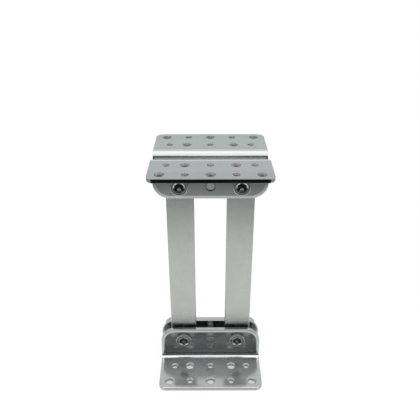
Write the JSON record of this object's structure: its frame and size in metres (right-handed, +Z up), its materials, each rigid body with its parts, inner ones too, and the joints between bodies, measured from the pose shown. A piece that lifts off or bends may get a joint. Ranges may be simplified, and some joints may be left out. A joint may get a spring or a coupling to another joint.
{
  "type": "backrest swing hinge",
  "caption": "Sofa backrest swing hinge: flanged steel brackets above and below, joined by parallel flat arms on pivot screws, so the top shifts sideways and stays level.",
  "frame": {"origin": "middle of the underside of the base flanges, in the gap between the front and rear brackets", "axes": "+Z up from the base flanges to the top flanges, X along the brackets and the swing, Y from the screw heads at the front to the lock nuts at the rear"},
  "size_m": [0.1, 0.1024, 0.224],
  "materials": {
    "bracket_steel": "bright zinc plate, smooth and mirror-like with faint rolling marks",
    "arm_steel": "satin zinc plate",
    "fastener_steel": "bright zinc plate",
    "spacer_plastic": "dark nylon"
  },
  "bodies": {
    "base": {"base_front_bracket": "bracket_steel", "base_rear_bracket": "bracket_steel", "base_stop_pin": "fastener_steel", "base_left_pivot_screw": "fastener_steel", "base_left_head_washer": "fastener_steel", "base_left_bush": "fastener_steel", "base_left_front_spacer": "spacer_plastic", "base_left_rear_spacer": "spacer_plastic", "base_left_lock_nut": "fastener_steel", "base_right_pivot_screw": "fastener_steel", "base_right_head_washer": "fastener_steel", "base_right_bush": "fastener_steel", "base_right_front_spacer": "spacer_plastic", "base_right_rear_spacer": "spacer_plastic", "base_right_lock_nut": "fastener_steel"},
    "left_arm": {"left_arm": "arm_steel"},
    "right_arm": {"right_arm": "arm_steel"},
    "top": {"top_front_bracket": "bracket_steel", "top_rear_bracket": "bracket_steel", "top_stop_pin": "fastener_steel", "top_left_pivot_screw": "fastener_steel", "top_left_head_washer": "fastener_steel", "top_left_bush": "fastener_steel", "top_left_front_spacer": "spacer_plastic", "top_left_rear_spacer": "spacer_plastic", "top_left_lock_nut": "fastener_steel", "top_right_pivot_screw": "fastener_steel", "top_right_head_washer": "fastener_steel", "top_right_bush": "fastener_steel", "top_right_front_spacer": "spacer_plastic", "top_right_rear_spacer": "spacer_plastic", "top_right_lock_nut": "fastener_steel"}
  },
  "joints": [
    {"name": "left_arm_swing", "type": "hinge", "parent": "base", "child": "left_arm", "pos_m": [-0.027, 0, 0.026], "axis": [0, 1, 0], "range_deg": [-47.5, 47.5]},
    {"name": "right_arm_swing", "type": "hinge", "parent": "base", "child": "right_arm", "pos_m": [0.027, 0, 0.026], "axis": [0, 1, 0], "range_deg": [-47.5, 47.5]},
    {"name": "top_level", "type": "hinge", "parent": "left_arm", "child": "top", "pos_m": [-0.027, 0, 0.198], "axis": [0, 1, 0], "range_deg": [-47.5, 47.5]}
  ],
  "couplings": [
    {"joint": "right_arm_swing", "follows": "left_arm_swing", "ratio": 1},
    {"joint": "top_level", "follows": "left_arm_swing", "ratio": -1}
  ]
}
